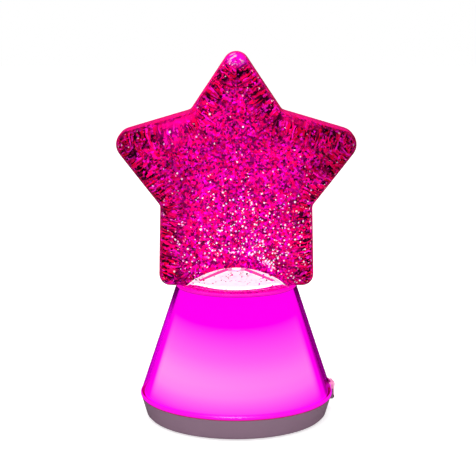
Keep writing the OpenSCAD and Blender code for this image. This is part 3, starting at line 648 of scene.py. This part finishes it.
# Loose foil flakes: each one takes its own colour from the palette, and glows as bright as the fill's
# painted light at its place
def foilFlakes(name, palette, strength):
    finish = {"rough": glitterLook["rough"], "strength": strength}
    material, tree, shader = litMaterial(name, finish, Metallic=glitterLook["flakeMetal"])
    pick = addNode("NewGeometry", {}, tree)["Random Per Island"]
    foil = rampOf(pick, paletteStops(palette), steps=True)
    fading, tone = heartLight(coordsOf(tree)["Object"], glitterLook)[1:]
    showFoil(shader, foil, tone, fading)
    return material


print("glitter finishes ready")

for entry in frame["record"]["subparts"]:
    piece = nodes[entry["node"]]
    finish = materials[entry["material_slot"]]
    for place in piece.material_slots:
        place.material = finish
    if not piece.material_slots:
        piece.data.materials.append(finish)


# A mesh object from points and faces, riding on a body, with a finish and the nodes it stands for
def makePiece(name, points, faces, body, material, stands=(), smooth=True, uv=None):
    mesh = bpy.data.meshes.new(name)
    mesh.from_pydata(np.asarray(points).tolist(), [], [tuple(face) for face in faces])
    if uv is not None:
        layer = mesh.uv_layers.new(name="UVMap")
        layer.data.foreach_set("uv", np.asarray(uv, np.float32).ravel())
    mesh.polygons.foreach_set("use_smooth", np.full(len(mesh.polygons), smooth))
    mesh.materials.append(material)
    mesh.update()
    piece = bpy.data.objects.new(name, mesh)
    scene.collection.objects.link(piece)
    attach(piece, body)
    if stands:
        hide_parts(*stands)
    return piece


# The star's outline and swell, in mm, measured from the bottle's bottom
star = {
    "skirt": ((55.5, 0.0), 8.0),
    "waist": ((53.9, 58.3), 5.0),
    "tip": ((92.5, 107.1), 10.8),
    "notch": ((32.7, 124.5), 4.0),
    "apex": ((0.0, 173.4), 9.4),
    "middle": (0.0, 72.0),
    "edgeDepth": 3.6, "edgeRound": 20.0,
    "dome": 10.0, "domeReach": 110.0,
    "shoulder": 40.4, "shoulderLow": 6.0, "shoulderFade": 45.0,
    "shoulderFall": 4.0,  # how steeply it ends beyond its own reach
    "blend": 8.0,
    "around": 420,  # points round the outline
    "rings": 34,  # rings from the edge to the middle
    "crowd": 1.9,  # how closely the rings crowd towards the edge
}


# Arc that rounds corner v: centre on the half angle between u and w, swept from tangent to tangent
def cornerArc(u, v, w, radius, steps=24):
    a, b = (np.subtract(p, v) / np.linalg.norm(np.subtract(p, v)) for p in (u, w))
    half = math.acos(float(a @ b)) / 2
    centre = np.asarray(v) + (a + b) / np.linalg.norm(a + b) * radius / math.sin(half)
    ends = [np.asarray(v) + side * radius / math.tan(half) - centre for side in (a, b)]
    start = math.atan2(ends[0][1], ends[0][0])
    sweep = (math.atan2(ends[1][1], ends[1][0]) - start + math.pi) % (2 * math.pi) - math.pi
    angle = start + sweep * np.linspace(0, 1, steps)
    return centre + radius * np.stack([np.cos(angle), np.sin(angle)], axis=1)


# Outline from the middle of the bottom, right-hand side first, in equal steps along its length
def starOutline(sizes):
    right = [sizes[key] for key in ("skirt", "waist", "tip", "notch")]
    left = [((-x, h), r) for (x, h), r in reversed(right)]
    corners = [*right, sizes["apex"], *left]
    places = [p for p, r in corners]
    arcs = [cornerArc(places[i - 1], p, places[(i + 1) % len(places)], r)
            for i, (p, r) in enumerate(corners)]
    path = np.concatenate([[(0.0, 0.0)], *arcs, [(0.0, 0.0)]])
    length = np.concatenate([[0], np.cumsum(np.linalg.norm(np.diff(path, axis=0), axis=1))])
    steps = np.linspace(0, length[-1], sizes["around"], endpoint=False)
    return np.stack([np.interp(steps, length, path[:, axis]) for axis in (0, 1)], axis=1)


# Outline moved inwards: each point goes square to the line between its two neighbours
def insetOutline(outline, distance):
    along = np.roll(outline, -1, axis=0) - np.roll(outline, 1, axis=0)
    along /= np.linalg.norm(along, axis=1)[:, None]
    return outline + distance * np.stack([-along[:, 1], along[:, 0]], axis=1)


# Least distance from each point to the outline's spans, or to those kept, and the nearest span
def edgeGap(points, outline, keep=None, batches=40):
    index = np.arange(len(outline)) if keep is None else np.flatnonzero(keep)
    start, span = outline[index], (np.roll(outline, -1, axis=0) - outline)[index]
    gaps, nearest = [], []
    for part in np.array_split(points, batches):
        rel = part[:, None] - start
        share = np.clip((rel * span).sum(2) / (span * span).sum(1), 0, 1)
        apart = np.linalg.norm(rel - share[..., None] * span, axis=2)
        gaps.append(apart.min(1))
        nearest.append(index[apart.argmin(1)])
    return np.concatenate(gaps), np.concatenate(nearest)


# Half depth at a point: a rounded edge and a shallow dome, run softly into a round shoulder
def halfDepth(points, outline, trim, sizes):
    radius = sizes["edgeRound"] - trim
    inner = 1 - np.minimum(edgeGap(points, outline)[0] / radius, 1)
    away = np.linalg.norm(points - np.array(sizes["middle"]), axis=1) / sizes["domeReach"]
    swell = sizes["edgeDepth"] + radius * np.sqrt(1 - inner**2) + sizes["dome"] * np.maximum(1 - away**2, 0)
    reach = sizes["shoulder"] - trim
    across = np.abs(points[:, 0])
    inside = np.sqrt(np.maximum(reach**2 - across**2, 0))
    wall = np.where(across < reach, inside, sizes["shoulderFall"] * (reach - across))
    rise = np.maximum(points[:, 1] - sizes["shoulderLow"], 0) / sizes["shoulderFade"]
    shoulder = wall - sizes["shoulder"] * rise**2
    near = np.maximum(sizes["blend"] - np.abs(swell - shoulder), 0) / sizes["blend"]
    return np.maximum(swell, shoulder) + near**2 * sizes["blend"] / 4


# Front half of the star as a grid: rings are the outline shrunk towards the middle, in metres
def starGrid(outline, trim, sizes):
    shares = 1 - (np.arange(sizes["rings"]) / sizes["rings"]) ** sizes["crowd"]
    middle = np.array(sizes["middle"])
    flat = (middle + shares[:, None, None] * (outline - middle)).reshape(-1, 2)
    flat = np.concatenate([flat, middle[None]])
    depth = halfDepth(flat, outline, trim, sizes)
    points = np.stack([flat[:, 0] * mm, -depth * mm, flat[:, 1] * mm + seat], axis=1)
    return points, flat


# Spans of the outline at the star's sides, above the corner of its skirt
def sideSpans(outline, sizes):
    return np.abs(outline[:, 0]) + outline[:, 1] > sizes["skirt"][0][0]


# Flat coordinates of face corners: along the nearest span, and the distance in from the sides
def streakCoords(flat, corners, outline, sizes):
    sides = sideSpans(outline, sizes)
    span = np.roll(outline, -1, axis=0) - outline
    steps = np.linalg.norm(span, axis=1)
    length = np.cumsum(steps) - steps
    nearest = edgeGap(flat[corners].mean(1), outline, sides)[1]
    way = (span / steps[:, None])[nearest]
    run = length[nearest][:, None] + ((flat[corners] - outline[nearest][:, None]) * way[:, None]).sum(2)
    gap = edgeGap(flat, outline, sides)[0][corners]
    return np.stack([run, gap], axis=2) * mm


# Closed star: quads between the rings, triangles to the pole, both mirrored behind, a band between
def starFaces(sizes):
    around, rings = sizes["around"], sizes["rings"]
    half = around * rings + 1
    column = np.arange(around)
    after = (column + 1) % around
    row = np.arange(rings - 1)[:, None] * around
    beyond = row + around
    quads = np.stack([row + column, row + after, beyond + after, beyond + column], axis=2).reshape(-1, 4)
    last = (rings - 1) * around
    poles = np.stack([last + column, last + after, np.full(around, half - 1)], axis=1)
    band = np.stack([column, half + column, half + after, after], axis=1)
    return quads, poles, quads[:, ::-1] + half, poles[:, ::-1] + half, band


def buildStar(name, outline, trim, sizes, slot, stands):
    points, flat = starGrid(outline, trim, sizes)
    whole = np.concatenate([points, points * (1, -1, 1)])
    parts = starFaces(sizes)
    faces = [face for part in parts for face in part.tolist()]
    uv = [streakCoords(flat, part % len(flat), outline, sizes).reshape(-1, 2) for part in parts]
    return makePiece(name, whole, faces, "lamp", materials[slot], stands, uv=np.concatenate(uv))


outer = starOutline(star)
skin = buildStar("starSkin", outer, 0.0, star, "bottle_clear", ["star_bottle"])
print("star skin:", len(skin.data.polygons), "faces")

# The liquid stops under an arch over the stirrer, so the lit plug shows below it
fill = {"trim": 2.3, "archHalf": 33.5, "archHigh": 15.6, "archFull": 0.66, "archSlack": 0.5}


# Height of the arch at a place across it: a half wave, made fuller by its power
def archLift(across, sizes):
    wave = np.cos(0.5 * math.pi * np.clip(across / sizes["archHalf"], -1, 1))
    return sizes["archHigh"] * np.maximum(wave, 0) ** sizes["archFull"]


# Bottom of the fill lifted between the arch's feet
def archedOutline(outline, sizes):
    inner = insetOutline(outline, sizes["trim"])
    under = (np.abs(inner[:, 0]) < sizes["archHalf"]) & (inner[:, 1] < sizes["trim"] + sizes["archSlack"])
    inner[:, 1] += np.where(under, archLift(inner[:, 0], sizes), 0)
    return inner


fillOutline = archedOutline(outer, fill)
core = buildStar("glitterCore", fillOutline, fill["trim"], star, "glitter_liquid", ["glitter_liquid"])
print("glitter core:", len(core.data.polygons), "faces")

# Loose flakes between the fill and the skin, and a few settled on the lit plug
flakes = {
    "radius": 0.75 * mm, "thick": 0.08 * mm, "tilt": 0.75,
    "between": (0.3, 0.7),  # share of the gap between fill and skin
    "count": 6500, "sparkles": 1400, "settled": 60, "onStirrer": 130,
    "lyingTilt": 0.12, "lyingSizes": (0.5, 0.9), "lyingGlow": 0.7,
}


# Hexagonal plates: six corners at each end of a thin prism, turned to their own direction
def hexPlates(middles, ways, radii, thick, random):
    spin = np.cross(ways, random.normal(size=ways.shape))
    first = spin / np.linalg.norm(spin, axis=1)[:, None]
    second = np.cross(ways, first)
    angle = np.arange(6) * math.pi / 3
    ring = np.cos(angle)[:, None] * first[:, None] + np.sin(angle)[:, None] * second[:, None]
    border = middles[:, None] + radii[:, None, None] * ring
    rise = ways[:, None] * thick / 2
    points = np.concatenate([border + rise, border - rise], axis=1).reshape(-1, 3)
    corner = np.arange(6)
    after = (corner + 1) % 6
    sides = np.stack([corner + 6, after + 6, after, corner], axis=1)
    base = (np.arange(len(middles)) * 12)[:, None]
    ends = np.concatenate([base + corner, base + corner[::-1] + 6]).tolist()
    walls = (base[:, :, None] + sides[None]).reshape(-1, 4).tolist()
    return points, ends + walls


# Places in the gap: a cell by its area and wanted density, a spot in it, and a share of the gap
def scatterPlaces(count, density, random):
    shape = (star["rings"], star["around"])
    skinPoints, fillPoints = (starGrid(line, trim, star)[0][:-1].reshape(*shape, 3)
                              for line, trim in ((outer, 0.0), (fillOutline, fill["trim"])))
    flat = starGrid(outer, 0.0, star)[1][:-1]
    gap = edgeGap(flat, outer, sideSpans(outer, star))[0].reshape(shape) * mm
    right = np.roll(skinPoints, -1, axis=1) - skinPoints
    inward = np.roll(skinPoints, -1, axis=0) - skinPoints
    square = np.cross(right, inward)[:-1]
    area = np.linalg.norm(square, axis=2)
    weight = (area * density(skinPoints[:-1, :, 0], skinPoints[:-1, :, 2] - seat, gap[:-1])).ravel()
    pick = random.choice(weight.size, count, p=weight / weight.sum())
    row, column = np.divmod(pick, star["around"])
    a, b = random.random((2, count, 1))
    share = random.uniform(*flakes["between"], (count, 1))
    spots = []
    for grid in (skinPoints, fillPoints):
        near, far = grid[row, column], grid[row, (column + 1) % star["around"]]
        nearIn, farIn = grid[row + 1, column], grid[row + 1, (column + 1) % star["around"]]
        spots.append((1 - b) * ((1 - a) * near + a * far) + b * ((1 - a) * nearIn + a * farIn))
    ways = (square / np.maximum(area, 1e-12)[..., None])[row, column]
    flip = np.where(random.random((count, 1)) < 0.5, (1, 1, 1), (1, -1, 1))
    return (share * spots[0] + (1 - share) * spots[1]) * flip, ways * flip


def scatterFlakes(name, count, density, palette, strength, sizes, seed):
    random = np.random.default_rng(seed)
    middles, ways = scatterPlaces(count, density, random)
    leaning = ways + flakes["tilt"] * random.normal(size=ways.shape)
    leaning /= np.linalg.norm(leaning, axis=1)[:, None]
    radii = flakes["radius"] * random.uniform(*sizes, count)
    points, faces = hexPlates(middles, leaning, radii, flakes["thick"], random)
    finish = foilFlakes(name, palette, strength)
    return makePiece(name, points, faces, "lamp", finish, smooth=False)


# A few only in front of the arch over the stirrer
def overArch(x, z, share, margin=1.0):
    top = fill["trim"] + archLift(x / mm, fill)
    return np.where(z / mm < top + margin, share, 1.0)


# Sparse in the streaks along the edges
foilSpread = {"arch": 0.2, "least": 0.15, "edge": 5 * mm, "fade": 10 * mm}


def innerSpread(x, z, gap):
    inward = np.clip((gap - foilSpread["edge"]) / foilSpread["fade"], 0, 1)
    return overArch(x, z, foilSpread["arch"]) * (foilSpread["least"] + inward)


# Denser round the heart of the star and in a clump of painted glints near its foot
silverSpread = {
    "arch": 0.06, "least": 0.1,
    "heart": {"place": (8 * mm, 34 * mm), "reach": (42 * mm, 34 * mm), "share": 2.2},
    "glints": {"place": (20 * mm, 14 * mm), "reach": (5 * mm, 4.5 * mm), "share": 14.0},
}


# Bell over a place: its share times e to the minus sum of both squared distances over the reach
def bellOver(x, z, bell):
    across, high = (x - bell["place"][0]) / bell["reach"][0], (z - bell["place"][1]) / bell["reach"][1]
    return bell["share"] * np.exp(-(across**2) - high**2)


def heartSpread(x, z, gap):
    bells = sum(bellOver(x, z, silverSpread[key]) for key in ("heart", "glints"))
    return overArch(x, z, silverSpread["arch"]) * (silverSpread["least"] + bells)


# painted glints: these silver flakes glow white and pale pink, as sparkles of light
silver = [((255, 232, 246), 0.6), ((255, 170, 225), 0.25), ((226, 190, 255), 0.15)]
foilDraw = {"palette": glitterLook["palette"], "strength": 0.8, "sizes": (0.4, 1.2), "seed": 3}
silverDraw = {"palette": silver, "strength": 1.1, "sizes": (0.4, 1.15), "seed": 5}
scatterFlakes("foilFlakes", flakes["count"], innerSpread, **foilDraw)
scatterFlakes("silverFlakes", flakes["sparkles"], heartSpread, **silverDraw)


# Flakes lying on a turned slope, its height straight from the inner radius to the outer one; they glow with
# painted light
def lyingFlakes(name, count, inner, outer, heights, body, seed):
    random = np.random.default_rng(seed)
    share = random.random(count)
    radius = np.sqrt(inner**2 + (outer**2 - inner**2) * share)
    turn = random.uniform(0, 2 * math.pi, count)
    height = np.interp(radius, (inner, outer), heights)
    spots = np.stack([radius * np.cos(turn), radius * np.sin(turn), height], axis=1)
    ways = np.array([0, 0, 1.0]) + flakes["lyingTilt"] * random.normal(size=spots.shape)
    ways /= np.linalg.norm(ways, axis=1)[:, None]
    radii = flakes["radius"] * random.uniform(*flakes["lyingSizes"], count)
    points, faces = hexPlates(spots, ways, radii, flakes["thick"], random)
    finish = foilFlakes(name, glitterLook["palette"][1:5], flakes["lyingGlow"])
    return makePiece(name, points, faces, body, finish, smooth=False)


lying = {"lift": 0.12 * mm, "plugDrop": 0.9 * mm, "besideStirrer": 0.8 * mm, "plugRadius": 29.6 * mm}
slope = [stirrerLow.z + stirrerGlow[key] + lying["lift"] for key in ("height", "rimHeight")]
plugTop = [stirrerLow.z - lying["plugDrop"]] * 2
beside = stirrerHigh.x + lying["besideStirrer"]
lyingFlakes("settledFlakes", flakes["settled"], beside, lying["plugRadius"], plugTop, "lamp", 8)
lyingFlakes("stirrerFlakes", flakes["onStirrer"], stirrerGlow["hub"], stirrerHigh.x, slope, "spinner", 9)

# Glitter settled round the plug, glowing with painted light: a low mound between the plug's lit face and
# the bottle's shoulder
mound = {
    "inner": 30.0, "plug": 33.6, "outer": 37.8,  # radii in mm: its start, the plug's edge, the shoulder
    "crest": 2.2, "step": 1.62, "floor": 0.25,  # heights in mm over the bottle's bottom
    "sink": 0.1, "skim": 0.08,  # how far it reaches below the floor and the step
    "bank": 5.0,  # how much higher it lies at the two sides
    "round": 0.7, "bends": 9, "around": 144,
}
moundLook = {
    "palette": [((255, 0, 170), 0.34), ((232, 0, 150), 0.24), ((190, 0, 128), 0.2), ((255, 40, 190), 0.14),
                ((150, 0, 92), 0.08)],
    "cell": 1.2 * mm, "rough": 0.5, "shine": 0.1, "strength": 0.95,
}


# Profile of the mound, turned about the lamp's axis: each point goes round at its own radius
def turnedRing(profile, count):
    angle = np.arange(count) * 2 * math.pi / count
    radius, height = np.asarray(profile).T
    points = np.stack([np.cos(angle)[:, None] * radius, np.sin(angle)[:, None] * radius,
                       np.broadcast_to(height, (count, len(height)))], axis=2).reshape(-1, 3)
    turn, step = np.meshgrid(np.arange(count), np.arange(len(radius)), indexing="ij")
    after, beyond = (turn + 1) % count, (step + 1) % len(radius)
    near, far = turn * len(radius), after * len(radius)
    faces = np.stack([near + step, near + beyond, far + beyond, far + step], axis=2)
    return points, faces.reshape(-1, 4)


def settledGlitter(name, look):
    material, tree, shader = litMaterial(name, look, Specular_IOR_Level=look["shine"])
    foil = foilCells(coordsOf(tree)["Object"], 1 / look["cell"], look["palette"])[0]
    feed(shader, Emission_Color=foil, Base_Color=scaledOf(foil, glitterLook["body"]))
    return material


# Its top: a straight fall from the step to the floor, plus a rounded half wave
bend = np.linspace(0, 1, mound["bends"])
swell = mound["crest"] - mound["step"]
fall = mound["step"] * (1 - bend) + mound["floor"] * bend
crest = np.stack([mound["inner"] + (mound["outer"] - mound["inner"]) * bend,
                  fall + swell * np.sin(math.pi * bend) ** mound["round"]], axis=1)
low, high = mound["floor"] - mound["sink"], mound["step"] - mound["skim"]
under = [(mound["outer"], low), (mound["plug"], low), (mound["plug"], high), (mound["inner"], high)]
profile = np.concatenate([crest, under])
ringPoints, ringFaces = turnedRing(profile * mm + (0, seat), mound["around"])
sideways = (ringPoints[:, 0] / np.hypot(ringPoints[:, 0], ringPoints[:, 1])) ** 2
raised = np.tile(np.maximum(profile[:, 1] - mound["step"], 0) / swell, mound["around"])
ringPoints[:, 2] += mound["bank"] * mm * raised * sideways
moundPaint = settledGlitter("settledRing", moundLook)
makePiece("settledRing", ringPoints, ringFaces, "lamp", moundPaint)
print("flakes:", sum(flakes[key] for key in ("count", "sparkles", "settled", "onStirrer")))

# Camera, lights, floor and room
view = {"place": (0.0012, -1.0, 0.317), "pitch": 10.54, "lens": 106.94, "sensor": 36.0, "far": 50.0}
camera = bpy.data.objects.new("camera", bpy.data.cameras.new("camera"))
camera.location = view["place"]
camera.rotation_euler = (math.radians(90 - view["pitch"]), 0, 0)
camera.data.lens = view["lens"]
camera.data.sensor_width = view["sensor"]
camera.data.clip_end = view["far"]
scene.collection.objects.link(camera)
scene.camera = camera
scene.view_settings.view_transform = "Standard"


def addLight(name, place, target, size, power, mirrored):
    light = bpy.data.lights.new(name, "AREA")
    light.shape = "RECTANGLE"
    light.size, light.size_y = size
    light.energy = power
    lamp = bpy.data.objects.new(name, light)
    lamp.location = place
    way = np.subtract(target, place)
    turn = math.atan2(way[1], way[0])
    lean = math.atan2(math.hypot(way[0], way[1]), -way[2])
    lamp.rotation_euler = (lean, 0, turn - math.pi / 2)
    lamp.visible_glossy = mirrored
    scene.collection.objects.link(lamp)


lights = {
    "overhead": {"place": (-0.15, -0.1, 1.5), "target": (0, 0, 0.1), "size": (1.2, 1.2), "power": 12.0},
    "front": {"place": (-0.25, -1.6, 1.0), "target": (0, 0, 0.05), "size": (0.9, 0.5), "power": 6.0},
    "strip": {"place": (-0.09, -0.6, 1.25), "target": (0, 0, 0.1), "size": (0.3, 0.05), "power": 2.0},
}
for name, light in lights.items():
    addLight(name, mirrored=name == "strip", **light)

floorPlan = {"half": 4.0, "cells": 8}
floorPaint = {"Base_Color": (0.8, 0.8, 0.8, 1), "Roughness": 0.9,
              "Emission_Color": (1, 1, 1, 1), "Emission_Strength": 0.62}
count = floorPlan["cells"] + 1
across, back = np.meshgrid(*[np.linspace(-floorPlan["half"], floorPlan["half"], count)] * 2)
floorPoints = np.stack([across.ravel(), back.ravel(), np.zeros(across.size)], axis=1)
cell = np.arange(count * count).reshape(count, count)[:-1, :-1].ravel()
floorFaces = np.stack([cell, cell + 1, cell + count + 1, cell + count], axis=1)
floorMesh = bpy.data.meshes.new("floor")
floorMesh.from_pydata(floorPoints.tolist(), [], floorFaces.tolist())
floor = bpy.data.objects.new("floor", floorMesh)
scene.collection.objects.link(floor)
floorMesh.materials.append(newMaterial("floor_white", **floorPaint)[0])
floor.visible_glossy = False  # the bottle mirrors the dim room, not the white floor

# White room: full white to the eye and through glass, softer as light, and dim in mirrors
room = {"seen": 1.0, "light": 0.6, "mirrored": 0.02}
world = bpy.data.worlds.new("room")
world.use_nodes = True
scene.world = world
sky = world.node_tree
rays = addNode("LightPath", {}, sky)
bounced = mathOf("ADD", rays["Diffuse Depth"], rays["Glossy Depth"], clamp=True)
through = mathOf("MULTIPLY", rays["Is Transmission Ray"], lessOf(bounced, 1.0))
seen = mathOf("MAXIMUM", rays["Is Camera Ray"], through)
mirrored = mathOf("MINIMUM", rays["Glossy Depth"], 1.0)
dim = lineOf(mirrored, room["mirrored"] - room["light"], room["light"])
glow = mathOf("MAXIMUM", mathOf("MULTIPLY", seen, room["seen"]), dim)
feed(sky.nodes["Background"], Color=(1, 1, 1, 1), Strength=glow)
print("camera, lights and floor ready")
